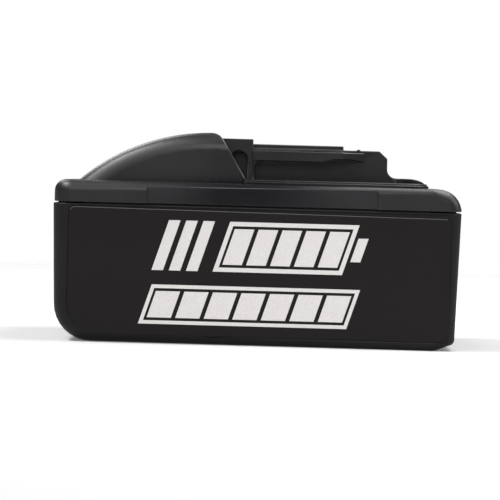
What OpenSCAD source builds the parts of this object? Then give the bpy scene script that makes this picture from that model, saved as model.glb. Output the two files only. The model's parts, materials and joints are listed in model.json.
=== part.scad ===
// Slide-on battery pack for cordless power tools: ten cells in a moulded tub,
// a cover with two T rails and a spring-loaded release latch.
// Millimetres. X runs from the latch hump (-) to the insertion end (+), Z is up.

/* [Cells] */
// Diameter of one cell
cell_d = 18.4; // [18:0.1:18.8]
// Length of one cell
cell_l = 65; // [64:0.5:70]
// Gap between neighbouring cells
cell_gap = 0.5; // [0.4:0.1:1]
// Clearance round a cell in its pocket
cell_fit = 0.1; // [0.05:0.05:0.2]

/* [Cell carrier] */
// Material of the carrier beyond the outer cells
holder_rim = 0.6; // [0.4:0.1:1.5]
// Thickness of the web over the cell ends
holder_web = 1; // [0.6:0.1:1.4]
// How far each carrier half reaches along the cells
holder_reach = 18; // [14:1:24]
// Diameter of the pillars that join the carrier halves
pillar_d = 6; // [4:0.5:7]
// Thickness of the welded nickel strips
strip_t = 0.3; // [0.2:0.05:0.4]
// Width of the welded nickel strips
strip_w = 8; // [6:0.5:10]
// Thickness of the insulating sheets
sheet_t = 0.3; // [0.2:0.05:0.4]
// Thickness of the foam strips under the carrier
pad_t = 0.7; // [0.5:0.1:1.5]

/* [Tub] */
// Wall thickness of the tub
wall = 2.4; // [2:0.1:2.8]
// Floor thickness of the tub
floor_t = 2.2; // [1.8:0.1:3]
// Room between the carrier and the end walls
end_room = 6.75; // [6.5:0.05:9]
// Room between the cell ends and the side walls
side_room = 2.6; // [2.4:0.1:4]
// How far the carrier rises above the parting line
carrier_rise = 3.4; // [2.6:0.1:4]
// Draft of the side walls, degrees
side_draft = 0.5; // [0.2:0.1:0.7]
// Draft of the end walls, degrees
end_draft = 1.5; // [0.5:0.1:2]
// Plan radius of the corners at the hump end
rear_corner_r = 5; // [4:0.5:6]
// Plan radius of the corners at the insertion end
front_corner_r = 3.4; // [3:0.2:5]
// Radius of the bottom edge at the hump end
rear_bottom_r = 10.5; // [6:0.5:11]
// Radius along the bottom edges
bottom_edge_r = 1.5; // [1:0.25:2.5]
// Length of the bevel under the insertion end
nose_l = 4.2; // [2:0.2:6]
// Height of the bevel under the insertion end
nose_h = 1.6; // [1:0.2:4]
// Shadow gap between tub and cover
parting_gap = 0.4; // [0.2:0.1:0.8]
// Height of the locating tongue on the rim
tongue_h = 1.6; // [1:0.1:2]
// Depth of the label recess
label_depth = 0.3; // [0.2:0.05:0.5]
// Thickness of the label film
film_t = 0.2; // [0.1:0.05:0.2]

/* [Cover] */
// Thickness of the cover
cover_t = 2.3; // [1.8:0.1:2.8]
// Room between the carrier and the cover
ceiling_gap = 0.9; // [0.7:0.1:2]
// Radius along the top side edges of the cover
top_edge_r = 1.8; // [1:0.2:2.2]
// Radius of the top edge at the hump end
rear_edge_r = 3.2; // [2:0.2:3.6]
// Radius of the top edge at the insertion end
front_top_r = 6.5; // [4:0.5:7]
// Depth of the waist in the cover sides
waist_depth = 0.3; // [0.1:0.1:0.6]
// Start of the waist, from the hump end
waist_start = 26.3; // [20:0.1:30]
// Length of the waist
waist_l = 64.1; // [40:0.1:70]
// How far the cover steps in from the tub at the hump end
cover_step = 0.25; // [0:0.05:0.4]

/* [Hump] */
// Radius of the back of the hump
hump_r = 56.8; // [52:0.2:60]
// Height of the hump above the shoulder
hump_rise = 14.1; // [13.4:0.1:16]
// Middle of the hump's curve, from the hump end
hump_mid = 44.2; // [42:0.1:46]
// Width of the hump
hump_w = 64; // [60:1:66]
// Radius along the sides of the hump
hump_edge_r = 5; // [3:0.5:6]
// Foot of the hump's front face, from the hump end
hump_foot = 53.5; // [52.5:0.1:54]
// Lean of the hump's front face, degrees
hump_lean = 30.7; // [24:0.1:34]
// Radius at the top of the hump's front face
hump_corner_r = 4; // [2:0.5:5]

/* [Rails] */
// Height of the plateau above the shoulder
plateau_h = 1.3; // [0.8:0.1:2]
// Clear height of the grooves
groove_h = 5.3; // [4.8:0.1:6]
// Thickness of the rail lips
lip_t = 2.9; // [2.2:0.1:3.4]
// Height of the ridges above the lips
ridge_h = 1.8; // [1.2:0.1:2.4]
// Width of the neck under the lips
neck_w = 50; // [48:1:52]
// Width over the rail lips
rail_w = 60; // [58:1:63]
// Width over the ridges
ridge_w = 54; // [53:1:57]
// Width of one ridge
ridge_t = 5; // [3:0.5:6]
// Start of the grooves, from the hump end
rail_start = 55.4; // [54.5:0.1:56.5]
// Length of the ridges and of the full lips
ridge_l = 25.4; // [23:0.1:26]
// Length over which the lips run out
runout_l = 6; // [4:0.1:8]
// Length from the groove start to the front of the terminal block
block_l = 37.9; // [36:0.1:39]
// How far the terminal block lies below the ridges
block_drop = 1.1; // [0.6:0.1:1.6]
// Height of the stops above the ridges
stop_h = 1.3; // [0.8:0.1:1.4]

/* [Latch] */
// Travel of the release latch
travel = 4; // [3:0.25:4.25]
// Clearance between moving and fixed pieces
running_gap = 0.3; // [0.25:0.05:0.4]
// Width of the release button
button_w = 27; // [22:1:30]
// Length of the release button
button_l = 15; // [12:0.5:15.5]
// Start of the button, from the hump end
button_start = 11.2; // [10.8:0.1:12]
// How far the button lies below the hump's skin
button_sink = 0.6; // [0.3:0.1:1]
// Width of the locking hook
hook_w = 16; // [12:1:20]
// Diameter of the spring wire
wire_d = 0.7; // [0.5:0.05:0.8]
// Mean diameter of the springs
coil_d = 5.4; // [5:0.1:5.6]
// Turns of each spring
coil_turns = 5; // [4:1:6]

/* [Terminals] */
// Thickness of the control board
board_t = 1.4; // [1:0.1:1.6]
// Width of the control board
board_w = 40; // [38:1:43]
// Distance of each power slot from the middle
slot_y = 13; // [12:0.5:14]
// Width of the power slots
slot_w = 4.6; // [4.4:0.1:5]
// Width of the signal socket
socket_w = 15; // [13:0.5:16]
// Thickness of the terminal clips
clip_t = 0.6; // [0.4:0.1:0.8]

/* [Screws] */
// Shank diameter of the case screws
case_screw_d = 2.9; // [2.5:0.1:3]
// Head diameter of the case screws
case_head_d = 5; // [4.6:0.1:5]
// Shank diameter of the small screws
small_screw_d = 2.2; // [1.8:0.1:2.4]
// Head diameter of the small screws
small_head_d = 3.8; // [3.4:0.1:4]

/* [Hidden] */
$fn = 48;
columns = 5;
rows = 2;
hair = 0.05;

// Cell block
pitch = cell_d + cell_gap;
holder_l = columns * pitch + 2 * holder_rim;
holder_h = rows * pitch + 2 * holder_rim;
holder_z = floor_t + pad_t;
holder_top = holder_z + holder_h;
holder_y = cell_l / 2 + holder_web;
pocket_r = cell_d / 2 + cell_fit;
strip_y = holder_y + strip_t;
pillar_columns = [-1.5, -0.5, 0.5, 1.5];
peg_d = 2.6;
peg_l = 4;
peg_fit = 0.05;

function column_x(c) = (c - (columns - 1) / 2) * pitch;
function row_z(r) = holder_z + holder_rim + (r + 0.5) * pitch;

// Tub
pack_l = holder_l + 2 * (end_room + wall);
pack_w = cell_l + 2 * (side_room + wall);
rear = -pack_l / 2;
front = pack_l / 2;
part_z = holder_top - carrier_rise;
tub_w = pack_w - 0.2;
rim_band = 0.5;
tongue_in = 1.1;
tongue_fit = 0.15;
screw_inset_x = 5.4;
screw_inset_y = 5.5;
boss_d = case_head_d + 1.9;
label_rear = 4.6;
label_front = 2.8;
label_head = 0.6;
label_foot = 2.3;
label_skew = 0.8;

function end_in(z) = (part_z - z) * tan(end_draft);
function side_in(z) = (part_z - z) * tan(side_draft);

// Cover
ceiling_z = holder_top + ceiling_gap;
shoulder_z = ceiling_z + cover_t;
cover_z = part_z + parting_gap;
counterbore_z = part_z + 2;
case_screw_l = 18;
case_head_h = 1.8;
head_room = 0.4;

// Hump
hump_x = rear + hump_mid;
hump_top = shoulder_z + hump_rise;
hump_z = hump_top - hump_r;

// Rails
plateau_z = shoulder_z + plateau_h;
lip_z = plateau_z + groove_h;
lip_top = lip_z + lip_t;
ridge_top = lip_top + ridge_h;
block_top = ridge_top - block_drop;
stop_top = ridge_top + stop_h;
rail_x = rear + rail_start;
ridge_x = rail_x + ridge_l;
runout_x = ridge_x + runout_l;
block_x = rail_x + block_l;
foot_x = rear + hump_foot;
deck_t = 2;
deck_z = lip_top - 0.6;
deck_under = deck_z - deck_t;
neck_in = neck_w / 2 - cover_t;
well_x = rail_x + 10;
plateau_x = front - 8.9;
plateau_w = pack_w - 9;
plateau_r = 8;
bay_w = ridge_w - 2 * ridge_t;
relief_x = rail_x + 19.9;
relief_h = 0.9;
relief_end_l = 3.4;
relief_end_h = 0.25;
relief_ramp = 2.8;
dome_z = plateau_z + 1.4;
dome_w = 46;
dome_r = 9.7;
dome_flat = 6.2;
dome_fall = 29;
block_w = 38;
block_bevel_l = 2.3;
block_bevel_h = 2.1;
block_fillet_r = 2.5;
stop_l = 11.5;
stop_w = rail_w - 1.2;
stop_pocket_l = 4.8;
stop_pocket_end = 1.6;
stop_pocket_top = lip_top - 0.2;
pocket_depth = 5;
groove_fillet_r = 1.9;
groove_end = 0.5;
nub_d = 1.4;
nub_l = 2;
nub_x = rail_x + 29.7;
plateau_lead = 1;

// Board and terminals
board_z = holder_top + strip_t + hair;
board_top = board_z + board_t;
board_x0 = rear + 17;
board_x1 = block_x - cover_t - 0.4;
board_screw_columns = [-0.5, 0.5];
board_screw_y = 17.5;
board_screw_l = 6;
corner_clear = 8;
slot_x = rail_x + 14;
slot_floor = plateau_z + 1.4;
clip_x = rail_x + 17;
clip_l = 14;
clip_top = deck_under - 0.4;
socket_x0 = rail_x + 16;
socket_x1 = block_x - cover_t - 1.2;
socket_top = deck_z - 0.6;
socket_back = 3;
signal_count = 4;
signal_pitch = 3.2;
signal_slot = 1.2;

// Latch
base_z = board_top + 0.35;
base_t = 1.3;
base_top = base_z + base_t;
base_x0 = rear + 21;
base_x1 = rear + 43;
base_w = 53;
base_screw_x = rear + 31;
base_screw_y = 23.5;
base_screw_l = 6;
post_x = rear + 35;
post_y = 15;
post_d = 3;
slider_z = base_top + travel + running_gap;
slider_top = deck_under - 0.2;
hub_d = coil_d + wire_d + 2.6;
hub_top = hump_top - cover_t - 2;
hub_roof = 1;
spring_top = hub_top - hub_roof;
hook_x0 = rail_x - 3.6;
hook_x1 = rail_x + 3.4;
hook_top = stop_top - 0.5;
button_x0 = rear + button_start;
button_x1 = button_x0 + button_l;
slider_x0 = button_x1 - 5.6;
slider_w = 2 * (post_y + hub_d / 2) + 1;
button_peg_y = 7;
button_peg_l = 1.8;
indicator_t = 1;
indicator_top = hump_z + sqrt(pow(hump_r, 2) - pow(button_x1 + running_gap - hump_x, 2)) - 0.7;
indicator_inset = 2;
indicator_w = button_w - 2 * indicator_inset;
grip_count = 5;

cell_names = [for (i = [1:columns * rows]) str("cell_", i)];
strip_names = ["strip_minus", "strip_1", "strip_2", "strip_3", "strip_4", "strip_plus"];

// Points of an arc in a profile
function arc(x, z, r, a0, a1, n) =
    [for (i = [0:n]) let (a = a0 + (a1 - a0) * i / n) [x + r * cos(a), z + r * sin(a)]];

// Rectangle in plan with its own corner radius at each end
module plan(xa, xb, w, ra, rb) {
    translate([xa + ra, -w / 2]) square([xb - xa - ra - rb, w]);
    translate([xa, -w / 2 + ra]) square([ra + hair, w - 2 * ra]);
    translate([xb - rb - hair, -w / 2 + rb]) square([rb + hair, w - 2 * rb]);
    for (s = [-1, 1]) {
        translate([xa + ra, s * (w / 2 - ra)]) circle(ra);
        translate([xb - rb, s * (w / 2 - rb)]) circle(rb);
    }
}

// Side profile in X and Z, drawn out along Y
module across(w) {
    translate([0, w / 2, 0]) rotate([90, 0, 0]) linear_extrude(w) children();
}

// Cross profile in Y and Z, drawn out along X
module along(xa, xb) {
    translate([xa, 0, 0]) rotate([90, 0, 90]) linear_extrude(xb - xa) children();
}

// Disc about the Y axis with rounded rims
module round_disc(r, w, e) {
    rotate([90, 0, 0]) rotate_extrude() intersection() {
        union() {
            translate([0, -w / 2]) square([r - e, w]);
            translate([0, e - w / 2]) square([r, w - 2 * e]);
            for (s = [-1, 1]) translate([r - e, s * (w / 2 - e)]) circle(e);
        }
        translate([0, -w]) square([2 * r, 2 * w]);
    }
}

// Upright post with a rounded rim on top
module round_post(r, h, e) {
    rotate_extrude() intersection() {
        union() {
            square([r, h - e]);
            square([r - e, h]);
            translate([r - e, h - e]) circle(e);
        }
        square([r, h]);
    }
}

// Places of the four case screws
module at_case_screws() {
    for (sx = [-1, 1], sy = [-1, 1])
        translate([sx * (pack_l / 2 - screw_inset_x), sy * (pack_w / 2 - screw_inset_y), 0])
            children();
}

// Round hole or shank between two heights
module upright(d, z0, z1) {
    translate([0, 0, z0]) cylinder(d = d, h = z1 - z0);
}

module tub_outside() {
    hull() {
        for (s = [-1, 1]) {
            translate([rear + rear_corner_r, s * (tub_w / 2 - rear_corner_r), part_z - rim_band])
                cylinder(r = rear_corner_r, h = rim_band, $fn = 32);
            translate([front - front_corner_r, s * (tub_w / 2 - front_corner_r), part_z - rim_band])
                cylinder(r = front_corner_r, h = rim_band, $fn = 32);
            for (p = [[nose_l, 0], [0, nose_h]])
                translate([
                    front - end_in(p[1]) - p[0] - front_corner_r,
                    s * (tub_w / 2 - side_in(p[1]) - front_corner_r),
                    p[1] + 2 * bottom_edge_r
                ])
                    mirror([0, 0, 1]) round_post(front_corner_r, 2 * bottom_edge_r, bottom_edge_r, $fn = 32);
        }
        translate([rear + end_in(rear_bottom_r) + rear_bottom_r, 0, rear_bottom_r])
            round_disc(
                rear_bottom_r,
                tub_w - 2 * side_in(rear_bottom_r),
                min(rear_corner_r, rear_bottom_r - 1),
                $fn = 32
            );
    }
}

module tub_inside() {
    heel_x = rear + end_in(rear_bottom_r) + rear_bottom_r;
    intersection() {
        across(pack_w) polygon(concat(
            [[rear + wall, part_z + 2 * tongue_h]],
            arc(heel_x, rear_bottom_r, rear_bottom_r - floor_t, 180, 270, 8),
            [[front - end_in(0) - wall - nose_l, floor_t]],
            [[front - end_in(nose_h) - wall, floor_t + nose_h]],
            [[front - wall, part_z + 2 * tongue_h]]
        ));
        translate([0, 0, floor_t]) linear_extrude(part_z)
            plan(
                rear + wall,
                front - wall,
                tub_w - 2 * wall - 2 * side_in(0),
                rear_corner_r - wall,
                front_corner_r - wall
            );
    }
}

// Flat field for the label on a drafted side wall, s = -1 or 1, its top edge falling by skew
module label_field(s, inset, t, skew) {
    r = 1.5;
    heel_r = rear_bottom_r - r;
    xa = rear + label_rear + inset;
    xb = front - label_front - inset;
    za = label_foot + inset - part_z;
    zb = -label_head - inset;
    mirror([0, s > 0 ? 1 : 0, 0])
        translate([0, -tub_w / 2, part_z]) rotate([side_draft, 0, 0])
            translate([0, label_depth, 0]) rotate([90, 0, 0]) linear_extrude(t) hull() {
                translate([xa + heel_r, za + heel_r]) circle(heel_r);
                translate([xa + r, zb - r]) circle(r);
                translate([xb - r, zb - skew - r]) circle(r);
                translate([xb - r, za + r]) circle(r);
            }
}

module lower_case() {
    rib_t = 2;
    rib_gap = 0.3;
    rib_y = 16;
    color("#232326") difference() {
        union() {
            difference() {
                tub_outside();
                difference() {
                    tub_inside();
                    at_case_screws() upright(boss_d, 0, part_z);
                    for (sx = [-1, 1], sy = [-1, 1])
                        translate([sx * (holder_l / 2 + rib_gap + end_room / 2), sy * rib_y, holder_h / 2])
                            cube([end_room, rib_t, holder_h - 2 * rib_y / 4], center = true);
                }
            }
            translate([0, 0, part_z - rim_band]) linear_extrude(rim_band + tongue_h) difference() {
                plan(
                    rear + tongue_in,
                    front - tongue_in,
                    tub_w - 2 * tongue_in,
                    rear_corner_r - tongue_in,
                    front_corner_r - tongue_in
                );
                plan(
                    rear + wall - hair,
                    front - wall + hair,
                    tub_w - 2 * wall + 2 * hair,
                    rear_corner_r - wall,
                    front_corner_r - wall
                );
                for (sx = [-1, 1], sy = [-1, 1])
                    translate([sx * (pack_l / 2 - screw_inset_x), sy * (pack_w / 2 - screw_inset_y)])
                        circle(d = boss_d + 4);
            }
        }
        at_case_screws() upright(case_screw_d + 2 * peg_fit, counterbore_z - case_screw_l - 1, part_z + 1);
        for (s = [-1, 1]) label_field(s, 0, 2 * label_depth, 0);
    }
}

module label_film() {
    color("#2b2726") label_field(-1, 0.25, film_t, label_skew);
}

module case_screws() {
    color("#8d9096") at_case_screws() {
        upright(case_screw_d, counterbore_z - case_screw_l, counterbore_z);
        upright(case_head_d, counterbore_z, counterbore_z + case_head_h);
    }
}

module cover_outside() {
    h = shoulder_z - cover_z;
    intersection() {
        hull() {
            for (s = [-1, 1]) {
                translate([rear + cover_step + rear_corner_r, s * (pack_w / 2 - rear_corner_r), cover_z])
                    round_post(rear_corner_r, h, rear_edge_r, $fn = 32);
                translate([front - front_corner_r, s * (pack_w / 2 - front_corner_r), cover_z])
                    cylinder(r = front_corner_r, h = rim_band, $fn = 32);
                translate([
                    front - front_top_r - top_edge_r,
                    s * (pack_w / 2 - top_edge_r),
                    shoulder_z - top_edge_r
                ])
                    sphere(top_edge_r, $fn = 32);
            }
            translate([front - front_top_r, 0, shoulder_z - front_top_r])
                round_disc(front_top_r, pack_w, front_corner_r, $fn = 32);
        }
        translate([rear - 1, -pack_w, cover_z]) cube([pack_l + 2, 2 * pack_w, pack_w]);
    }
}

module cover_inside() {
    intersection() {
        across(pack_w) polygon([
            [rear + wall, part_z - 1],
            [rear + wall, ceiling_z],
            [front - front_top_r, ceiling_z],
            [front - wall, part_z + 1],
            [front - wall, part_z - 1]
        ]);
        translate([0, 0, part_z - 1]) linear_extrude(hump_top)
            plan(rear + wall, front - wall, tub_w - 2 * wall, rear_corner_r - wall, front_corner_r - wall);
    }
    translate([0, 0, part_z - 1]) linear_extrude(tongue_h + 1) plan(
        rear + tongue_in - tongue_fit,
        front - tongue_in + tongue_fit,
        tub_w - 2 * (tongue_in - tongue_fit),
        rear_corner_r - tongue_in + tongue_fit,
        front_corner_r - tongue_in + tongue_fit
    );
}

// X of the hump's front face at a height
function face_x(z) = foot_x - (z - plateau_z) * tan(hump_lean);

// Middle of the rounded corner between the front face and the back of the hump
corner_start = [
    foot_x - hump_corner_r * cos(hump_lean) - hump_x,
    plateau_z - hump_corner_r * sin(hump_lean) - hump_z
];
face_way = [-sin(hump_lean), cos(hump_lean)];
corner_along = corner_start * face_way;
corner_run = sqrt(pow(corner_along, 2) - corner_start * corner_start + pow(hump_r - hump_corner_r, 2))
    - corner_along;
corner_mid = corner_start + corner_run * face_way;

module hump_outside() {
    low = ceiling_z + cover_t / 2;
    top = hump_top + 1;
    intersection() {
        translate([hump_x, 0, hump_z]) round_disc(hump_r, hump_w, hump_edge_r, $fn = 96);
        across(pack_w) polygon(concat(
            [[rear + wall, top], [rear + wall, low], [face_x(low), low]],
            arc(
                hump_x + corner_mid[0],
                hump_z + corner_mid[1],
                hump_corner_r,
                hump_lean,
                atan2(corner_mid[1], corner_mid[0]),
                8
            ),
            [[hump_x + corner_mid[0], top]]
        ));
    }
}

module hump_inside() {
    low = part_z + tongue_h + 1;
    step = cover_t / cos(hump_lean);
    intersection() {
        translate([hump_x, 0, hump_z])
            round_disc(hump_r - cover_t, hump_w - 2 * cover_t, hump_edge_r - cover_t, $fn = 96);
        across(pack_w) polygon([
            [rear + 2 * wall, low],
            [rear + 2 * wall, hump_top],
            [face_x(hump_top) - step, hump_top],
            [face_x(low) - step, low]
        ]);
    }
}

module rail_lips() {
    for (s = [0, 1]) mirror([0, s, 0]) difference() {
        translate([0, 0, lip_z]) linear_extrude(lip_t) polygon([
            [rail_x - hair, neck_w / 2 - 1],
            [rail_x - hair, rail_w / 2],
            [ridge_x, rail_w / 2],
            [runout_x, neck_w / 2],
            [runout_x, neck_w / 2 - 1]
        ]);
        translate([0, neck_w / 2 + rail_w / 2, 0]) across(rail_w) polygon([
            [relief_x, lip_z - 1],
            [relief_x, lip_z],
            [relief_x + relief_ramp, lip_z + relief_h],
            [runout_x - relief_end_l, lip_z + relief_h],
            [runout_x, lip_z + relief_end_h],
            [runout_x + 1, lip_z + relief_end_h],
            [runout_x + 1, lip_z - 1]
        ]);
    }
}

// Rounded rear ends of the grooves, under the lips
module groove_fillets() {
    r = groove_fillet_r;
    for (s = [0, 1]) mirror([0, s, 0]) translate([0, (neck_w + stop_w) / 4, 0])
        across((stop_w - neck_w) / 2 + hair) difference() {
            translate([rail_x - hair, plateau_z - hair])
                square([groove_end + r + hair, groove_h + 2 * hair]);
            translate([rail_x + groove_end, plateau_z - 1]) square([r + 1, groove_h + 1 - r]);
            translate([rail_x + groove_end + r, lip_z - r]) circle(r);
        }
}

module rail_ridges() {
    foot_step = 0.5;
    for (s = [0, 1]) mirror([0, s, 0]) along(rail_x - 1, ridge_x) polygon([
        [ridge_w / 2 - ridge_t, deck_z - 1],
        [ridge_w / 2 - ridge_t, ridge_top],
        [ridge_w / 2 - foot_step, ridge_top],
        [ridge_w / 2 - foot_step, ridge_top - ridge_h / 2],
        [ridge_w / 2, ridge_top - ridge_h / 2 - foot_step],
        [ridge_w / 2, deck_z - 1]
    ]);
}

module neck_block() {
    low = ceiling_z + cover_t / 2;
    nose = concat(
        [[block_x - block_bevel_l, block_top], [block_x, block_top - block_bevel_h]],
        arc(block_x + block_fillet_r, dome_z + block_fillet_r, block_fillet_r, 180, 270, 6),
        [[block_x + block_fillet_r, low]]
    );
    across(neck_w) polygon(concat(
        [[hump_x + cover_t, low], [hump_x + cover_t, deck_z], [ridge_x, deck_z], [ridge_x, block_top]],
        nose
    ));
    across(block_w) polygon(concat([[well_x, low], [well_x, block_top]], nose));
    for (s = [-1, 1])
        translate([nub_x, s * (neck_w - nub_l) / 2, block_top - nub_d / 4]) rotate([90, 0, 0])
            cylinder(d = nub_d, h = nub_l, center = true);
}

module rail_stops() {
    w = (stop_w - bay_w) / 2;
    arch_x = rail_x - stop_pocket_end - stop_pocket_l / 2;
    for (s = [0, 1]) mirror([0, s, 0]) difference() {
        translate([rail_x - stop_l, bay_w / 2, shoulder_z - 1]) cube([stop_l, w, stop_top - shoulder_z + 1]);
        translate([0, stop_w / 2, 0]) across(2 * pocket_depth) {
            translate([arch_x, stop_pocket_top - stop_pocket_l / 2]) circle(d = stop_pocket_l);
            translate([arch_x - stop_pocket_l / 2, plateau_z])
                square([stop_pocket_l, stop_pocket_top - stop_pocket_l / 2 - plateau_z]);
        }
    }
}

module plateau() {
    low = ceiling_z + cover_t / 2;
    step = 0.5;
    translate([0, 0, low]) linear_extrude(plateau_z - step - low)
        plan(foot_x - plateau_lead, plateau_x, plateau_w, plateau_lead, plateau_r);
    translate([0, 0, low]) linear_extrude(plateau_z - low)
        plan(foot_x - plateau_lead, plateau_x - step, plateau_w - 2 * step, plateau_lead, plateau_r - step);
    intersection() {
        across(dome_w) polygon(concat(
            [[block_x - 1, low], [block_x - 1, dome_z]],
            arc(block_x + dome_flat, dome_z - dome_r, dome_r, 90, 90 - dome_fall, 8),
            [[plateau_x - step, low]]
        ));
        translate([0, 0, low]) linear_extrude(dome_z)
            plan(well_x, plateau_x, dome_w, plateau_lead, plateau_r);
    }
}

module terminal_cuts() {
    socket_fit = 0.3;
    mouth = socket_w - 3;
    high = stop_top;
    for (s = [-1, 1])
        translate([slot_x, s * slot_y - slot_w / 2, slot_floor])
            cube([block_x + block_fillet_r - slot_x, slot_w, high - slot_floor]);
    translate([socket_x0 - socket_fit, -socket_w / 2 - socket_fit, deck_under - 1])
        cube([socket_x1 - socket_x0 + 2 * socket_fit, socket_w + 2 * socket_fit, high - deck_under]);
    translate([socket_x1, -mouth / 2, slot_floor])
        cube([block_x + block_fillet_r - socket_x1, mouth, high - slot_floor]);
}

module at_base_screws() {
    for (s = [-1, 1]) translate([base_screw_x, s * base_screw_y, 0]) children();
}

module upper_cover() {
    pad_l = 6;
    pad_w = 2;
    pad_y = holder_y - 1.5;
    neck_low = part_z + tongue_h + 1;
    window_l = button_l + 2 * running_gap;
    window_w = button_w + 2 * running_gap;
    color("#2a2b2f") difference() {
        union() {
            difference() {
                union() {
                    cover_outside();
                    hump_outside();
                    plateau();
                    neck_block();
                    rail_lips();
                    groove_fillets();
                    rail_ridges();
                    rail_stops();
                }
                difference() {
                    union() {
                        cover_inside();
                        hump_inside();
                        translate([hump_x, -neck_in, neck_low])
                            cube([block_x - cover_t - hump_x, 2 * neck_in, deck_under - neck_low]);
                    }
                    at_base_screws() upright(small_head_d + 2.6, base_top, hump_top);
                    for (sx = [-0.5, 0.5], sy = [-1, 1])
                        translate([sx * pitch - pad_l / 2, sy * pad_y - pad_w / 2, holder_top + hair])
                            cube([pad_l, pad_w, cover_t]);
                }
            }
            at_case_screws() upright(boss_d, part_z, ceiling_z);
        }
        at_case_screws() {
            upright(case_head_d + head_room, counterbore_z, hump_top);
            upright(case_screw_d + head_room, part_z - 1, hump_top);
        }
        at_base_screws() upright(small_screw_d + 2 * peg_fit, base_top - 1, base_top + base_screw_l + 1);
        for (s = [-1, 1])
            translate([rear + waist_start, s * (pack_w / 2 + 1 - waist_depth) - 1, cover_z - 1])
                cube([waist_l, 2, shoulder_z]);
        translate([button_x0 - running_gap, -window_w / 2, ceiling_z - 1])
            cube([window_l, window_w, hump_top]);
        translate([button_x1, -indicator_w / 2, slider_top])
            cube([running_gap + indicator_t, indicator_w, indicator_top - slider_top]);
        translate([hook_x0 - running_gap, -hook_w / 2 - running_gap, deck_under - 1])
            cube([hook_x1 - hook_x0 + 2 * running_gap, hook_w + 2 * running_gap, deck_t + 2]);
        terminal_cuts();
    }
}

module skin(sink, t) {
    translate([hump_x, 0, hump_z]) rotate([90, 0, 0]) difference() {
        cylinder(r = hump_r - sink, h = pack_w, center = true, $fn = 96);
        cylinder(r = hump_r - sink - t, h = 2 * pack_w, center = true, $fn = 96);
    }
}

module at_button_pegs() {
    for (s = [-1, 1]) translate([(slider_x0 + button_x1) / 2, s * button_peg_y, 0]) children();
}

module release_button() {
    low = holder_top + travel + running_gap;
    block_half = button_peg_y + peg_d;
    skin_t = 1.7;
    grip_sink = button_sink + 0.25;
    a0 = acos((button_x0 + 2 - hump_x) / (hump_r - grip_sink));
    a1 = acos((button_x1 - 3 - hump_x) / (hump_r - grip_sink));
    color("#36373b") {
        difference() {
            intersection() {
                skin(button_sink, skin_t);
                translate([button_x0, -button_w / 2, low]) cube([button_l, button_w, hump_top - low]);
            }
            translate([slider_x0 - running_gap, -button_w, low])
                cube([button_l, 2 * button_w, slider_top - low]);
        }
        intersection() {
            translate([hump_x, 0, hump_z]) rotate([90, 0, 0])
                cylinder(r = hump_r - button_sink - 1, h = pack_w, center = true, $fn = 96);
            translate([slider_x0, -block_half, slider_top])
                cube([button_x1 - slider_x0, 2 * block_half, hump_top - slider_top]);
        }
        for (i = [0:grip_count - 1])
            let (a = a0 + (a1 - a0) * i / (grip_count - 1))
                translate([hump_x + (hump_r - grip_sink) * cos(a), 0, hump_z + (hump_r - grip_sink) * sin(a)])
                    rotate([90, 0, 0]) cylinder(d = 1.1, h = button_w - 6, center = true);
        at_button_pegs() upright(peg_d - 2 * peg_fit, slider_top - button_peg_l, slider_top + 1);
    }
}

module latch_slider() {
    arm_w = 2 * (button_peg_y + peg_d);
    opening_x0 = post_x + hub_d / 2;
    opening_x1 = hook_x0 - 3;
    pocket_d = coil_d + wire_d + 0.8;
    color("#4a4b50") difference() {
        union() {
            translate([0, 0, slider_z]) linear_extrude(slider_top - slider_z) difference() {
                union() {
                    plan(slider_x0, hook_x1, arm_w, 1, 1);
                    plan(post_x - hub_d / 2, post_x + hub_d / 2, slider_w, hub_d / 2 - 1, hub_d / 2 - 1);
                }
                plan(opening_x0, opening_x1, arm_w - 8, 2, 2);
            }
            for (s = [-1, 1]) translate([post_x, s * post_y, 0]) upright(hub_d, slider_z, hub_top);
            across(hook_w) polygon([
                [hook_x0, slider_z],
                [hook_x0, hook_top],
                [hook_x0 + 2, hook_top],
                [hook_x1, deck_z - 0.5],
                [hook_x1, slider_z]
            ]);
        }
        for (s = [-1, 1]) translate([post_x, s * post_y, 0]) {
            upright(pocket_d, slider_z - 1, spring_top);
            upright(post_d + 2 * peg_fit, slider_z, hub_top + 1);
        }
        at_button_pegs() upright(peg_d, slider_z - 1, slider_top + 1);
    }
}

module lock_indicator() {
    color("#c8201c") translate([button_x1 + running_gap, -indicator_w / 2, slider_top + running_gap])
        cube([indicator_t, indicator_w, indicator_top - slider_top - running_gap]);
}

module latch_base() {
    color("#4a4b50") difference() {
        union() {
            translate([0, 0, base_z]) linear_extrude(base_t) plan(base_x0, base_x1, base_w, 3, 3);
            for (s = [-1, 1]) translate([post_x, s * post_y, 0]) upright(post_d, base_z, hub_top + 0.5);
        }
        at_base_screws() upright(small_screw_d + 0.3, base_z - 1, base_top + 1);
    }
}

module latch_base_screws() {
    head_h = 1.2;
    color("#8d9096") at_base_screws() {
        upright(small_screw_d, base_z, base_top + base_screw_l);
        upright(small_head_d, base_z - head_h, base_z);
    }
}

// Centre line of a latch spring, 8 points a turn
ring_count = coil_turns * 8;
spring_rise = (spring_top - base_top - wire_d) / ring_count;
spring_line = [
    for (i = [0:ring_count])
        [coil_d / 2 * cos(45 * i), coil_d / 2 * sin(45 * i), base_top + wire_d / 2 + spring_rise * i]
];
spring_gap = min([
    for (i = [0:ring_count], j = [i + 5:1:ring_count]) norm(spring_line[i] - spring_line[j])
]) - wire_d;
echo(spring_gap = spring_gap);

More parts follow.
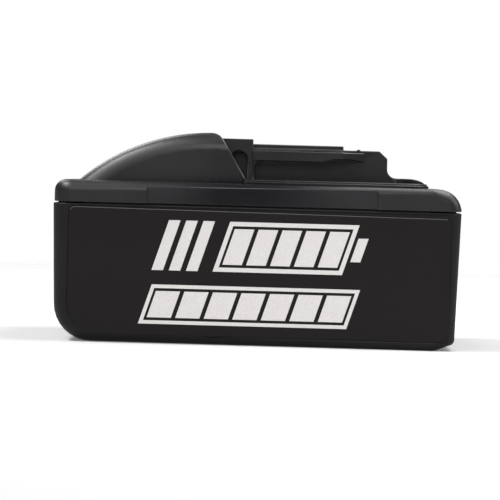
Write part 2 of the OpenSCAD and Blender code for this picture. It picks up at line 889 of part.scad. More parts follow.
module latch_spring(s) {
    sides = 6;
    points = [
        for (i = [0:ring_count], k = [0:sides - 1])
            let (a = 360 / sides * k, r = coil_d / 2 + wire_d / 2 * cos(a))
                [r * cos(45 * i), r * sin(45 * i), spring_line[i][2] + wire_d / 2 * sin(a)]
    ];
    walls = [
        for (i = [0:ring_count - 1], k = [0:sides - 1], h = [0, 1])
            let (p = i * sides + k, q = i * sides + (k + 1) % sides)
                h == 0 ? [p, q, q + sides] : [p, q + sides, p + sides]
    ];
    last = ring_count * sides;
    caps = [
        for (k = [1:sides - 2], h = [0, 1])
            h == 0 ? [0, k + 1, k] : [last, last + k, last + k + 1]
    ];
    color("#b9bcc2") translate([post_x, s * post_y, 0]) polyhedron(points, concat(walls, caps));
}

// Axis of one cell, from column and row
module at_cell(c, r) {
    translate([column_x(c), 0, row_z(r)]) rotate([-90, 0, 0]) children();
}

module cell(c, r) {
    half = cell_l / 2;
    cap_d = 8;
    cap_h = 0.8;
    groove_z = half - 4;
    groove_in = 0.6;
    edge = 0.5;
    body_r = cell_d / 2;
    flip = c % 2 == 0 ? 0 : 1;
    color("#3f7fb5") at_cell(c, r) mirror([0, 0, flip]) rotate_extrude() polygon([
        [0, -half],
        [body_r - edge, -half],
        [body_r, edge - half],
        [body_r, groove_z - 2 * groove_in],
        [body_r - groove_in, groove_z - groove_in],
        [body_r - groove_in, groove_z + groove_in],
        [body_r, groove_z + 2 * groove_in],
        [body_r, half - cap_h - edge],
        [body_r - edge, half - cap_h],
        [cap_d / 2, half - cap_h],
        [cap_d / 2, half],
        [0, half]
    ]);
}

// One carrier half, s = 1 on the left and -1 on the right
module cell_holder(s) {
    corner_r = pitch / 2 - 1.5;
    inner_y = holder_y - holder_reach;
    window_r = pocket_r - 2.3;
    mid_z = holder_z + holder_h / 2;
    color("#d9d6c8") mirror([0, s > 0 ? 0 : 1, 0]) difference() {
        union() {
            translate([0, holder_reach / 2 + inner_y, 0]) across(holder_reach)
                translate([0, mid_z]) plan(-holder_l / 2, holder_l / 2, holder_h, corner_r, corner_r);
            for (c = pillar_columns) translate([c * pitch, 0, mid_z]) rotate([-90, 0, 0]) {
                cylinder(d = pillar_d, h = inner_y + 1);
                if (s > 0) translate([0, 0, -peg_l]) cylinder(d = peg_d - 2 * peg_fit, h = peg_l + 1);
            }
        }
        for (c = [0:columns - 1], r = [0:rows - 1]) at_cell(c, r) {
            cylinder(r = pocket_r, h = cell_l / 2);
            cylinder(r = window_r, h = holder_y + 1);
        }
        if (s < 0) for (c = pillar_columns) translate([c * pitch, -1, mid_z]) rotate([-90, 0, 0])
            cylinder(d = peg_d, h = peg_l + 1.5);
        for (c = board_screw_columns) translate([c * pitch, board_screw_y, 0])
            upright(small_screw_d + 2 * peg_fit, holder_top - board_screw_l - 0.5, holder_top + 1);
    }
}

module cell_pads() {
    pad_w = 10;
    color("#6b6b6b") for (s = [-1, 1])
        translate([-holder_l / 2 + corner_clear, s * (holder_y - holder_reach / 2) - pad_w / 2, floor_t])
            cube([holder_l - 2 * corner_clear, pad_w, pad_t]);
}

// Welded strip over the columns c0 to c1, on side s, with its tab at tab_x
module strip(s, c0, c1, tab_x) {
    tab_w = 5;
    weld_d = 6;
    z0 = row_z(0) - strip_w / 2;
    z1 = row_z(rows - 1) + strip_w / 2;
    tab_end = board_w / 2 - 1;
    x0 = min(column_x(c0), tab_x + (strip_w - tab_w) / 2);
    color("#c9c8c2") mirror([0, s > 0 ? 0 : 1, 0]) {
        translate([0, strip_y, 0]) rotate([90, 0, 0]) linear_extrude(strip_t) {
            for (c = [c0:c1]) translate([column_x(c) - strip_w / 2, z0]) square([strip_w, z1 - z0]);
            translate([x0 - strip_w / 2, z1 - strip_w])
                square([column_x(c1) - x0 + strip_w, strip_w]);
            translate([tab_x - tab_w / 2, z1 - strip_w])
                square([tab_w, holder_top + strip_t - z1 + strip_w]);
        }
        for (c = [c0:c1], r = [0:rows - 1]) at_cell(c, r)
            translate([0, 0, cell_l / 2]) cylinder(d = weld_d, h = strip_y - cell_l / 2);
        translate([tab_x - tab_w / 2, tab_end, holder_top]) cube([tab_w, strip_y - tab_end, strip_t]);
    }
}

module insulator(s) {
    inset = 1.2;
    mid_z = holder_z + holder_h / 2;
    sheet_r = pitch / 2 - 2;
    color("#e6e2d2") translate([0, s * (strip_y + sheet_t / 2), 0]) across(sheet_t) translate([0, mid_z])
        plan(inset - holder_l / 2, holder_l / 2 - inset, holder_h - 2 * inset, sheet_r, sheet_r);
}

module at_board_screws() {
    for (c = board_screw_columns, s = [-1, 1]) translate([c * pitch, s * board_screw_y, 0]) children();
}

module control_board() {
    color("#1f5b38") difference() {
        translate([0, 0, board_z]) linear_extrude(board_t) plan(board_x0, board_x1, board_w, 2, 2);
        at_board_screws() upright(small_screw_d + 0.3, board_z - 1, board_top + 1);
    }
}

module board_screws() {
    head_h = 1.2;
    color("#8d9096") at_board_screws() {
        upright(small_screw_d, board_top - board_screw_l, board_top);
        upright(small_head_d, board_top, board_top + head_h);
    }
}

// Cell monitor, power switches and gauge chips on the board
module board_parts() {
    chip_h = 1.2;
    monitor = 8;
    switch_l = 6;
    switch_w = 5;
    switch_pitch = 7;
    small_l = 5;
    small_w = 3;
    small_y = 11;
    chip_x = rail_x - 12;
    switch_x = rail_x - 1;
    color("#1b1b1d") {
        translate([chip_x, -monitor / 2, board_top]) cube([monitor, monitor, chip_h]);
        for (i = [-1, 0, 1])
            translate([switch_x, i * switch_pitch - switch_w / 2, board_top])
                cube([switch_l, switch_w, chip_h]);
        for (s = [-1, 1])
            translate([chip_x, s * small_y - small_w / 2, board_top]) cube([small_l, small_w, chip_h]);
    }
}

module board_fuse() {
    fuse_l = 9;
    fuse_d = 2.6;
    cap_l = 2;
    x = rail_x + 10;
    color("#d8d4c4") {
        translate([x, 0, board_top + fuse_d / 2]) rotate([-90, 0, 0])
            cylinder(d = fuse_d - 0.6, h = fuse_l, center = true);
        for (s = [-1, 1])
            translate([x - fuse_d / 2, s * (fuse_l - cap_l) / 2 - cap_l / 2, board_top])
                cube([fuse_d, cap_l, fuse_d]);
    }
}

// Spring clip for a power blade, s = 1 for plus and -1 for minus
module terminal(s) {
    back = 1.9;
    pinch = 0.75;
    flare = 1.6;
    x1 = clip_x + clip_l;
    foot_l = 6;
    lead = 2.5;
    color("#c6a25a") translate([0, s * slot_y, 0]) {
        for (m = [0, 1]) mirror([0, m, 0])
            translate([0, 0, board_top]) linear_extrude(clip_top - board_top) polygon([
                [clip_x, back],
                [clip_x + foot_l, back],
                [x1 - lead, pinch],
                [x1, flare],
                [x1, flare - clip_t],
                [x1 - lead, pinch - clip_t],
                [clip_x + foot_l, back - clip_t],
                [clip_x, back - clip_t]
            ]);
        translate([clip_x, -back, board_top]) cube([clip_t, 2 * back, clip_top - board_top]);
        translate([clip_x, -back, board_top]) cube([foot_l, 2 * back, clip_t]);
    }
}

function signal_y(i) = (i - (signal_count - 1) / 2) * signal_pitch;

module signal_socket() {
    wall_x = socket_x0 + socket_back;
    color("#d2b13c") difference() {
        translate([socket_x0, -socket_w / 2, board_top])
            cube([socket_x1 - socket_x0, socket_w, socket_top - board_top]);
        for (i = [0:signal_count - 1])
            translate([wall_x, signal_y(i) - signal_slot / 2, slot_floor])
                cube([socket_x1 - socket_x0, signal_slot, socket_top]);
    }
}

module signal_pins() {
    pin_t = 0.5;
    pin_l = 9;
    color("#c6a25a") for (i = [0:signal_count - 1])
        translate([socket_x0 + socket_back, signal_y(i) - pin_t / 2, slot_floor])
            cube([pin_l, pin_t, socket_top - slot_floor - 1]);
}

lower_case();
upper_cover();
label_film();
case_screws();
release_button();
latch_slider();
lock_indicator();
latch_base();
latch_base_screws();
latch_spring(1);  // latch_spring_left
latch_spring(-1);  // latch_spring_right
cell_holder(1);  // cell_holder_left
cell_holder(-1);  // cell_holder_right
cell_pads();
for (i = [0:columns * rows - 1])
    cell(floor(i / rows), i % rows);
strip(-1, 0, 0, column_x(0));  // strip_minus
strip(1, 0, 1, column_x(1));  // strip_1
strip(-1, 1, 2, column_x(1));  // strip_2
strip(1, 2, 3, column_x(2));  // strip_3
strip(-1, 3, 4, column_x(3));  // strip_4
strip(1, 4, 4, column_x(3.5));  // strip_plus
insulator(1);  // insulator_left
insulator(-1);  // insulator_right
control_board();
board_parts();
board_fuse();
board_screws();
terminal(1);  // terminal_plus
terminal(-1);  // terminal_minus
signal_socket();
signal_pins();
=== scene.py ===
import json
import math

import bmesh
import bpy
from mathutils import Matrix, Quaternion, Vector


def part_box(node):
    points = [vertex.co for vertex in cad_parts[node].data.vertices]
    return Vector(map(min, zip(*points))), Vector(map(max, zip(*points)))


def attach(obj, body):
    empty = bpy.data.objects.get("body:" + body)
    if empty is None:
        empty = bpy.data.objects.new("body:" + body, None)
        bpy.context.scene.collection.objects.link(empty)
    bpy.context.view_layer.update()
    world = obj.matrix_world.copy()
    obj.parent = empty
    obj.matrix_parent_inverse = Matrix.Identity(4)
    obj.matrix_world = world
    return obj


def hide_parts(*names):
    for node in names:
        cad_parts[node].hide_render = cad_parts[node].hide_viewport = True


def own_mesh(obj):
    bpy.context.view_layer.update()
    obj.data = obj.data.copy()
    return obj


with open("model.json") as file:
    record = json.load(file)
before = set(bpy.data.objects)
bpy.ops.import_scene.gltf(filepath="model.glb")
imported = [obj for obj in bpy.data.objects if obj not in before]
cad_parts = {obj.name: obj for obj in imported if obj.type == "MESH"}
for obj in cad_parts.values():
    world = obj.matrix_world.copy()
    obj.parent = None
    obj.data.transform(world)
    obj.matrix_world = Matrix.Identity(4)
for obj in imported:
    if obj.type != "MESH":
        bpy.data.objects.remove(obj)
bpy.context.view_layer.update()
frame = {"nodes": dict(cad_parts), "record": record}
scene = bpy.context.scene
mm = 0.001
print("frame loaded", len(frame["nodes"]), "nodes")

# camera: level side view of the label side, held slightly turned
cameraSetup = {
    "aim": Vector((-1.74, -37.5, 26.8)) * mm,  # what sits in the middle of the picture
    "distance": 0.80,
    "elevation": 1.5,
    "roll": 1.6,
    "pictureWidth": 138.97 * mm,  # at the aim
    "sensor": 36.0,
    "clip": (0.01, 50),
}


def makeCamera(setup):
    data = bpy.data.cameras.new("packCamera")
    camera = bpy.data.objects.new("packCamera", data)
    scene.collection.objects.link(camera)
    tilt = math.radians(setup["elevation"])
    back = Vector((0, -math.cos(tilt), math.sin(tilt)))
    camera.location = setup["aim"] + back * setup["distance"]
    camera.rotation_mode = "QUATERNION"
    turned = Quaternion((0, 0, 1), math.radians(setup["roll"]))
    camera.rotation_quaternion = (-back).to_track_quat("-Z", "Y") @ turned
    data.sensor_width = setup["sensor"]
    data.lens = setup["sensor"] * setup["distance"] / setup["pictureWidth"]
    data.clip_start, data.clip_end = setup["clip"]
    scene.camera = camera


makeCamera(cameraSetup)
print("camera placed")

# light: white behind the pack, dim elsewhere, with soft lamps from above and a low one in front
lightSetup = {
    "skyBack": (1.0, 1.0, 1.0, 1),
    "skyFront": (0.08, 0.08, 0.083, 1),
    "skyStrength": 1.0,
    "skyEdge": (0.95, 0.99),  # where the white starts and is full, 0.5 at the sides and 1 at the back
    "suns": {
        "keySun": {"from": (-0.50, 0.02, 0.87), "spread": 10, "strength": 3.0},
        "backSun": {"from": (-0.30, 0.76, 0.58), "spread": 24, "strength": 0.7},
        "sideSun": {"from": (-0.46, -0.42, 0.78), "spread": 36, "strength": 1.8},
        "rimSun": {"from": (0.85, 0.00, 0.52), "spread": 30, "strength": 1.2},
        "fillSun": {"from": (-0.04, -0.89, 0.46), "spread": 30, "strength": 0.95},
    },
    "softbox": {"place": (0.20, 0.08, 0.42), "size": (0.28, 0.50), "power": 3.2},
}


def makeWorld(setup):
    world = bpy.data.worlds.new("paleRoom")
    scene.world = world
    world.use_nodes = True
    nodes = world.node_tree.nodes
    links = world.node_tree.links
    sky = nodes["Background"]
    sky.inputs["Strength"].default_value = setup["skyStrength"]
    where = nodes.new("ShaderNodeTexCoord")
    parts = nodes.new("ShaderNodeSeparateXYZ")
    ramp = nodes.new("ShaderNodeValToRGB")
    colours = (setup["skyFront"], setup["skyBack"])
    for element, position, colour in zip(ramp.color_ramp.elements, setup["skyEdge"], colours):
        element.position = position
        element.color = colour
    half = nodes.new("ShaderNodeMath")
    half.operation = "MULTIPLY_ADD"
    half.inputs[1].default_value = 0.5
    half.inputs[2].default_value = 0.5
    links.new(where.outputs["Generated"], parts.inputs["Vector"])
    links.new(parts.outputs["Y"], half.inputs[0])
    links.new(half.outputs["Value"], ramp.inputs["Fac"])
    links.new(ramp.outputs["Color"], sky.inputs["Color"])


def makeSun(name, setup):
    data = bpy.data.lights.new(name, "SUN")
    data.angle = math.radians(setup["spread"])
    data.energy = setup["strength"]
    lamp = bpy.data.objects.new(name, data)
    scene.collection.objects.link(lamp)
    lamp.location = Vector(setup["from"])
    lamp.rotation_mode = "QUATERNION"
    lamp.rotation_quaternion = (-lamp.location).to_track_quat("-Z", "Y")


def makeSoftbox(setup):
    data = bpy.data.lights.new("softbox", "AREA")
    data.shape = "RECTANGLE"
    data.size, data.size_y = setup["size"]
    data.energy = setup["power"]
    lamp = bpy.data.objects.new("softbox", data)
    scene.collection.objects.link(lamp)
    lamp.location = Vector(setup["place"])


makeWorld(lightSetup)
for name, setup in lightSetup["suns"].items():
    makeSun(name, setup)
makeSoftbox(lightSetup["softbox"])
scene.view_settings.view_transform = "Standard"
print("lights placed")


# materials
class Finish:
    def __init__(self, name):
        self.material = bpy.data.materials.new(name)
        self.material.use_nodes = True
        self.tree = self.material.node_tree
        self.shader = self.tree.nodes["Principled BSDF"]
        self.coords = self.add("ShaderNodeTexCoord").outputs["Object"]

    def add(self, kind, **settings):
        node = self.tree.nodes.new(kind)
        for key, value in settings.items():
            setattr(node, key, value)
        return node

    def link(self, source, target):
        self.tree.links.new(source, target)

    def noise(self, scale, detail=2.0, stretch=None):
        node = self.add("ShaderNodeTexNoise")
        node.inputs["Scale"].default_value = scale
        node.inputs["Detail"].default_value = detail
        source = self.coords
        if stretch:
            mapping = self.add("ShaderNodeMapping")
            mapping.inputs["Scale"].default_value = stretch
            self.link(source, mapping.inputs["Vector"])
            source = mapping.outputs["Vector"]
        self.link(source, node.inputs["Vector"])
        return node.outputs["Fac"]

    def ramp(self, source, stops):
        node = self.add("ShaderNodeValToRGB")
        for element, (position, colour) in zip(node.color_ramp.elements, stops):
            element.position = position
            element.color = (*colour, 1)
        self.link(source, node.inputs["Fac"])
        return node.outputs["Color"]

    def colour(self, source, dark, pale, full=0.7):
        self.link(self.ramp(source, [(0.3, dark), (full, pale)]), self.shader.inputs["Base Color"])

    def roughness(self, source):
        self.link(source, self.shader.inputs["Roughness"])

    def between(self, source, low, high, start=0.0, end=1.0):
        node = self.add("ShaderNodeMapRange")
        node.inputs["From Min"].default_value = start
        node.inputs["From Max"].default_value = end
        node.inputs["To Min"].default_value = low
        node.inputs["To Max"].default_value = high
        self.link(source, node.inputs["Value"])
        return node.outputs["Result"]

    def math(self, operation, *sources):
        node = self.add("ShaderNodeMath", operation=operation)
        for socket, source in zip(node.inputs, sources):
            if isinstance(source, float):
                socket.default_value = source
            else:
                self.link(source, socket)
        return node.outputs["Value"]

    def bump(self, source, strength, depth):
        node = self.add("ShaderNodeBump")
        node.inputs["Strength"].default_value = strength
        node.inputs["Distance"].default_value = depth
        self.link(source, node.inputs["Height"])
        self.link(node.outputs["Normal"], self.shader.inputs["Normal"])

    def set(self, **values):
        for key, value in values.items():
            self.shader.inputs[key.replace("_", " ")].default_value = value


# moulded plastic: a faint cloud in the colour and shine, and a fine spark-eroded texture
mouldGrain = {"cloud": 55, "texture": 5200, "depth": 0.04 * mm, "smoother": 0.05, "duller": 0.06}


def plasticBase(name, dark, pale, grain, shine):
    finish = Finish(name)
    cloud = finish.noise(mouldGrain["cloud"], 4)
    finish.colour(cloud, dark, pale, 0.75)
    finish.set(Specular_IOR_Level=shine)
    finish.bump(finish.noise(mouldGrain["texture"]), grain, mouldGrain["depth"])
    return finish, cloud


def cloudyRoughness(finish, cloud, rough):
    return finish.between(cloud, rough - mouldGrain["smoother"], rough + mouldGrain["duller"])


def mouldedPlastic(name, dark, pale, rough, grain=0.35, shine=0.34):
    finish, cloud = plasticBase(name, dark, pale, grain, shine)
    finish.roughness(cloudyRoughness(finish, cloud, rough))
    return finish.material


def coverPlastic(name, dark, pale, rough, grain, shine, grip):
    finish, cloud = plasticBase(name, dark, pale, grain, shine)
    parts = finish.add("ShaderNodeSeparateXYZ")
    finish.link(finish.coords, parts.inputs["Vector"])
    alongX = finish.math("ABSOLUTE", finish.math("SUBTRACT", parts.outputs["X"], grip["middle"]))
    smooth, dull = grip["smooth"] - rough, grip["dull"] - rough
    worn = finish.between(alongX, smooth, dull, grip["near"], grip["far"])
    upper = finish.between(parts.outputs["Z"], 0.0, grip["upper"], grip["low"], grip["high"])
    outward = finish.math("ABSOLUTE", parts.outputs["Y"])
    outer = finish.between(outward, 0.0, 1.0, grip["inside"], grip["outside"])
    sides = finish.math("ADD", worn, upper)
    finish.roughness(finish.math("MULTIPLY_ADD", outer, sides, cloudyRoughness(finish, cloud, rough)))
    return finish.material


def labelFilm(name, dark, pale, rough, shine):
    finish = Finish(name)
    finish.set(Specular_IOR_Level=shine)
    finish.colour(finish.noise(30, 3), dark, pale, 0.75)
    finish.roughness(finish.between(finish.noise(900, 3), rough - 0.04, rough + 0.05))
    finish.bump(finish.noise(1400), 0.12, 0.02 * mm)
    return finish.material


# finish for the printed artwork, also used for the painted highlight along the label's top edge
def inkOrHighlightFinish(name, dark, pale):
    finish = Finish(name)
    finish.colour(finish.noise(2600), dark, pale)
    finish.roughness(finish.between(finish.noise(700), 0.42, 0.55))
    return finish.material


def platedMetal(name, dark, pale, rough, lay):
    finish = Finish(name)
    finish.set(Metallic=1.0)
    drawn = finish.noise(900, 3, lay)
    finish.colour(drawn, dark, pale)
    finish.roughness(finish.between(drawn, rough - 0.07, rough + 0.1))
    finish.bump(drawn, 0.15, 0.02 * mm)
    return finish.material


def foamRubber(name, dark, pale):
    finish = Finish(name)
    cells = finish.add("ShaderNodeTexVoronoi")
    cells.inputs["Scale"].default_value = 1800
    finish.link(finish.coords, cells.inputs["Vector"])
    pores = cells.outputs["Distance"]
    finish.link(finish.ramp(pores, [(0.1, dark), (0.7, pale)]), finish.shader.inputs["Base Color"])
    finish.set(Roughness=0.92)
    finish.bump(pores, 0.5, 0.2 * mm)
    return finish.material


# sides of the cover, polished in the middle where a hand holds the pack
gripWear = {
    "middle": -3.0 * mm,
    "near": 8.0 * mm,
    "far": 34.0 * mm,
    "smooth": 0.19,
    "dull": 0.42,
    "inside": 29.0 * mm,
    "outside": 32.0 * mm,
    "upper": 0.14,  # the hump is duller
    "low": 45.0 * mm,
    "high": 48.0 * mm,
}

# one finish for each material slot: dark and pale end of its colour, then its surface
finishes = {
    "case_plastic": mouldedPlastic(
        "tubPlastic", (0.0075, 0.0068, 0.0070), (0.0100, 0.0092, 0.0094), rough=0.50, shine=0.16
    ),
    "cover_plastic": coverPlastic(
        "coverPlastic",
        (0.0062, 0.0061, 0.0074),
        (0.0088, 0.0087, 0.0104),
        rough=0.34,
        grain=0.35,
        shine=0.36,
        grip=gripWear,
    ),
    "label_film": labelFilm(
        "labelFilm", (0.0088, 0.0072, 0.0076), (0.0106, 0.0088, 0.0092), rough=0.48, shine=0.12
    ),
    "button_plastic": mouldedPlastic(
        "buttonPlastic", (0.021, 0.021, 0.024), (0.028, 0.028, 0.032), rough=0.42
    ),
    "latch_plastic": mouldedPlastic(
        "latchPlastic", (0.035, 0.035, 0.038), (0.046, 0.046, 0.050), rough=0.38, grain=0.15
    ),
    "indicator_red": mouldedPlastic(
        "indicatorRed", (0.46, 0.014, 0.012), (0.56, 0.022, 0.018), rough=0.30, grain=0.1
    ),
    "screw_steel": platedMetal(
        "screwSteel", (0.16, 0.16, 0.17), (0.25, 0.25, 0.26), rough=0.40, lay=(1, 1, 0.2)
    ),
    "spring_steel": platedMetal(
        "springSteel", (0.46, 0.47, 0.49), (0.62, 0.63, 0.65), rough=0.26, lay=(1, 1, 1)
    ),
    "carrier_plastic": mouldedPlastic(
        "carrierPlastic", (0.52, 0.50, 0.43), (0.62, 0.60, 0.52), rough=0.45, grain=0.15
    ),
    "cell_sleeve": mouldedPlastic(
        "cellSleeve", (0.035, 0.16, 0.34), (0.05, 0.21, 0.42), rough=0.28, grain=0.05
    ),
    "nickel": platedMetal(
        "nickelStrip", (0.50, 0.49, 0.45), (0.64, 0.63, 0.58), rough=0.32, lay=(1, 0.1, 1)
    ),
    "insulating_sheet": mouldedPlastic(
        "insulatingSheet", (0.62, 0.59, 0.48), (0.74, 0.71, 0.60), rough=0.70, grain=0.2
    ),
    "foam": foamRubber("padFoam", (0.03, 0.03, 0.03), (0.11, 0.11, 0.11)),
    "board_laminate": mouldedPlastic(
        "boardLaminate", (0.008, 0.085, 0.034), (0.012, 0.12, 0.05), rough=0.35, grain=0.1
    ),
    "chip_resin": mouldedPlastic(
        "chipResin", (0.010, 0.010, 0.011), (0.016, 0.016, 0.017), rough=0.55, grain=0.2
    ),
    "fuse_body": mouldedPlastic(
        "fuseBody", (0.55, 0.52, 0.43), (0.66, 0.63, 0.54), rough=0.40, grain=0.1
    ),
    "contact_brass": platedMetal(
        "contactBrass", (0.52, 0.36, 0.13), (0.68, 0.50, 0.21), rough=0.28, lay=(0.1, 1, 1)
    ),
    "socket_plastic": mouldedPlastic(
        "socketPlastic", (0.46, 0.30, 0.03), (0.58, 0.38, 0.05), rough=0.42, grain=0.1
    ),
}
slotOf = {entry["node"]: entry["material_slot"] for entry in frame["record"]["subparts"]}
for name, node in frame["nodes"].items():
    node.data.materials.clear()
    node.data.materials.append(finishes[slotOf[name]])
print("finishes set on the frame")


def addPiece(name, bm, finish, body):
    mesh = bpy.data.meshes.new(name)
    bm.to_mesh(mesh)
    bm.free()
    mesh.materials.append(finish)
    piece = bpy.data.objects.new(name, mesh)
    scene.collection.objects.link(piece)
    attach(piece, body)
    return piece


def smoothUpTo(bm, degrees):
    limit = math.radians(degrees)
    for face in bm.faces:
        face.smooth = True
    for edge in bm.edges:
        edge.smooth = len(edge.link_faces) == 2 and edge.calc_face_angle(math.pi) < limit


# meshes of the solids are joined up and cleared of lines in flat faces before more is done to them
cleaning = {"merge": 0.002 * mm, "flat": math.radians(0.3)}


def cleanedSolid(node):
    bm = bmesh.new()
    bm.from_mesh(frame["nodes"][node].data)
    bmesh.ops.remove_doubles(bm, verts=bm.verts, dist=cleaning["merge"])
    bmesh.ops.dissolve_limit(
        bm,
        angle_limit=cleaning["flat"],
        use_dissolve_boundaries=False,
        verts=bm.verts,
        edges=bm.edges,
        delimit=set(),
    )
    return bm


# mouldings: the solids with broken edges, as a mould gives them
mouldings = {
    "tubMoulding": {"node": "lower_case", "body": "pack", "edge": 0.25 * mm, "sharp": 38},
    "coverMoulding": {
        "node": "upper_cover",
        "body": "pack",
        "edge": 0.25 * mm,
        "sharp": 38,
        "keep": ((-4.6, 45.8), (-3.4, 46.5)),  # x and z of the narrow corner at the foot of the hump
    },
    "thumbButton": {"node": "release_button", "body": "latch", "edge": 0.3 * mm, "sharp": 38},
    "latchHook": {"node": "latch_slider", "body": "latch", "edge": 0.2 * mm, "sharp": 38},
    "dataSocket": {"node": "signal_socket", "body": "pack", "edge": 0.15 * mm, "sharp": 38},
}


def inKeep(vert, setup):
    (x0, z0), (x1, z1) = setup.get("keep", ((0, 0), (0, 0)))
    return x0 * mm < vert.co.x < x1 * mm and z0 * mm < vert.co.z < z1 * mm


def makeMoulding(name, setup):
    bm = cleanedSolid(setup["node"])
    smoothUpTo(bm, setup["sharp"])
    weights = bm.edges.layers.float.new("bevel_weight_edge")
    limit = math.radians(setup["sharp"])
    for edge in bm.edges:
        if all(inKeep(v, setup) for v in edge.verts):
            continue
        if edge.is_manifold and edge.is_convex and edge.calc_face_angle(0) > limit:
            edge[weights] = 1.0
    # wide faces are split first, so the rounding of one corner can't fold a whole face
    wide = [f for f in bm.faces if len(f.verts) > 4]
    bmesh.ops.triangulate(bm, faces=wide, quad_method="BEAUTY", ngon_method="BEAUTY")
    slotName = slotOf[setup["node"]]
    piece = addPiece(name, bm, finishes[slotName], setup["body"])
    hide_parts(setup["node"])
    rounding = piece.modifiers.new("edges", "BEVEL")
    rounding.limit_method = "WEIGHT"
    rounding.width = setup["edge"]
    rounding.segments = 2
    rounding.use_clamp_overlap = False
    rounding.loop_slide = False
    rounding.face_strength_mode = "FSTR_ALL"
    rounding.miter_outer = "MITER_ARC"
    flatFaces = piece.modifiers.new("flatFaces", "WEIGHTED_NORMAL")
    flatFaces.mode = "FACE_AREA"
    flatFaces.weight = 80
    flatFaces.keep_sharp = True
    flatFaces.use_face_influence = True


for name, setup in mouldings.items():
    makeMoulding(name, setup)
print("mouldings made")

# printed artwork on the label, flat in X and Z until it is laid on the film
printSetup = {
    "draft": 0.5,  # lean of the side wall, degrees
    "slant": 18.0,
    "thickness": 0.03 * mm,
    "sink": 0.01 * mm,
    "stripes": {"x": (-29.0, -24.2, -19.4), "w": 3.2, "z": (20.5, 34.5)},
    "battery": {
        "x": (-12.0, 24.0),
        "z": (20.5, 34.5),
        "rim": 1.2,
        "line": 0.8,
        "count": 5,
        "gap": 1.2,
    },
    "nub": {"x": (25.0, 27.8), "z": (24.2, 30.8)},
    "band": {
        "x": (-27.5, 30.5),
        "z": (5.5, 16.5),
        "rim": 1.0,
        "line": 0.8,
        "count": 7,
        "gap": 1.2,
    },
    "inkOrHighlight": ((0.60, 0.575, 0.565), (0.68, 0.655, 0.645)),
}


def slanted(x, z, setup):
    return x + z * math.tan(math.radians(setup["slant"]))


def addPlate(bm, xs, zs, setup):
    x0, x1 = (x * mm for x in xs)
    z0, z1 = (z * mm for z in zs)
    low = setup["battery"]["z"][0] * mm
    corners = [(x0, z0), (x1, z0), (x1, z1), (x0, z1)]
    verts = [bm.verts.new((slanted(x, z - low, setup), 0, z)) for x, z in corners]
    return bm.faces.new(verts)


def addRim(bm, xs, zs, width, setup):
    face = addPlate(bm, xs, zs, setup)
    face.normal_update()
    bmesh.ops.inset_individual(bm, faces=[face], thickness=width * mm, use_even_offset=True)
    bmesh.ops.delete(bm, geom=[face], context="FACES_ONLY")


def addRow(bm, xs, zs, count, gap, setup):
    width = (xs[1] - xs[0] - gap * (count - 1)) / count
    for i in range(count):
        start = xs[0] + i * (width + gap)
        addPlate(bm, (start, start + width), zs, setup)


def within(span, margin):
    return span[0] + margin, span[1] - margin


def makePrint(setup):
    bm = bmesh.new()
    stripes = setup["stripes"]
    for x in stripes["x"]:
        addPlate(bm, (x, x + stripes["w"]), stripes["z"], setup)
    for row in (setup["battery"], setup["band"]):
        addRim(bm, row["x"], row["z"], row["rim"], setup)
        inner = row["rim"] + row["line"]
        addRow(bm, within(row["x"], inner), within(row["z"], inner), row["count"], row["gap"], setup)
    addPlate(bm, setup["nub"]["x"], setup["nub"]["z"], setup)
    bmesh.ops.recalc_face_normals(bm, faces=bm.faces)
    for face in bm.faces:
        if face.normal.y > 0:
            face.normal_flip()
    bmesh.ops.solidify(bm, geom=bm.faces, thickness=setup["thickness"])
    filmLow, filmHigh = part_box("label_film")
    pivot = Vector((0, filmLow.y, filmHigh.z))
    lean = Matrix.Rotation(math.radians(setup["draft"]), 4, "X")
    lift = Matrix.Translation((0, setup["sink"] - setup["thickness"], 0))
    toLabel = Matrix.Translation(pivot) @ lean @ lift @ Matrix.Translation((0, 0, -pivot.z))
    bmesh.ops.transform(bm, matrix=toLabel, verts=bm.verts)
    addPiece("labelPrint", bm, inkOrHighlightFinish("greyInk", *setup["inkOrHighlight"]), "pack")


makePrint(printSetup)
print("label printed")

# painted highlight: a pale strip along the head of the label film, where its top edge catches the
# light from above
labelEdgeHighlightSetup = {
    "width": 0.2 * mm,
    "proud": 0.012 * mm,
    "thickness": 0.02 * mm,
    "reach": 1.0 * mm,
    # pale colours of the painted edge highlight
    "inkOrHighlight": ((0.060, 0.056, 0.056), (0.085, 0.080, 0.080)),
}


def makeLabelEdgeHighlight(setup):
    bm = cleanedSolid("label_film")
    outside = max((f for f in bm.faces if f.normal.y < 0), key=lambda f: f.calc_area())
    bmesh.ops.delete(bm, geom=[f for f in bm.faces if f is not outside], context="FACES")
    bmesh.ops.inset_region(
        bm, faces=[outside], thickness=setup["width"], use_boundary=True, use_even_offset=True
    )
    head = max(v.co.z for v in bm.verts) - setup["reach"]
    spare = [f for f in bm.faces if f is outside or f.calc_center_median().z < head]
    bmesh.ops.delete(bm, geom=spare, context="FACES")
    bmesh.ops.translate(bm, vec=(0, -setup["proud"], 0), verts=bm.verts)
    bmesh.ops.solidify(bm, geom=bm.faces, thickness=setup["thickness"])
    # the strip's pale colour is painted highlight
    addPiece("labelEdgeHighlight", bm, inkOrHighlightFinish("paintedEdgeHighlight", *setup["inkOrHighlight"]), "pack")


makeLabelEdgeHighlight(labelEdgeHighlightSetup)
print("film edge made")

# case screws with six-lobed drives
screwSetup = {
    "lobes": 6,
    "lobeDepth": 0.16,
    "driveRadius": 1.25 * mm,
    "driveDepth": 0.9 * mm,
    "driveInset": 1.0 * mm,
    "rim": 0.2 * mm,
    "smooth": 35,
}
screwSizes = {
    "head": 2.5 * mm,
    "headHeight": 1.8 * mm,
    "headSides": 48,
    "shank": 1.45 * mm,
    "shankSides": 32,
    "tip": 3.0 * mm,
    "point": 0.35,  # of the shank
}


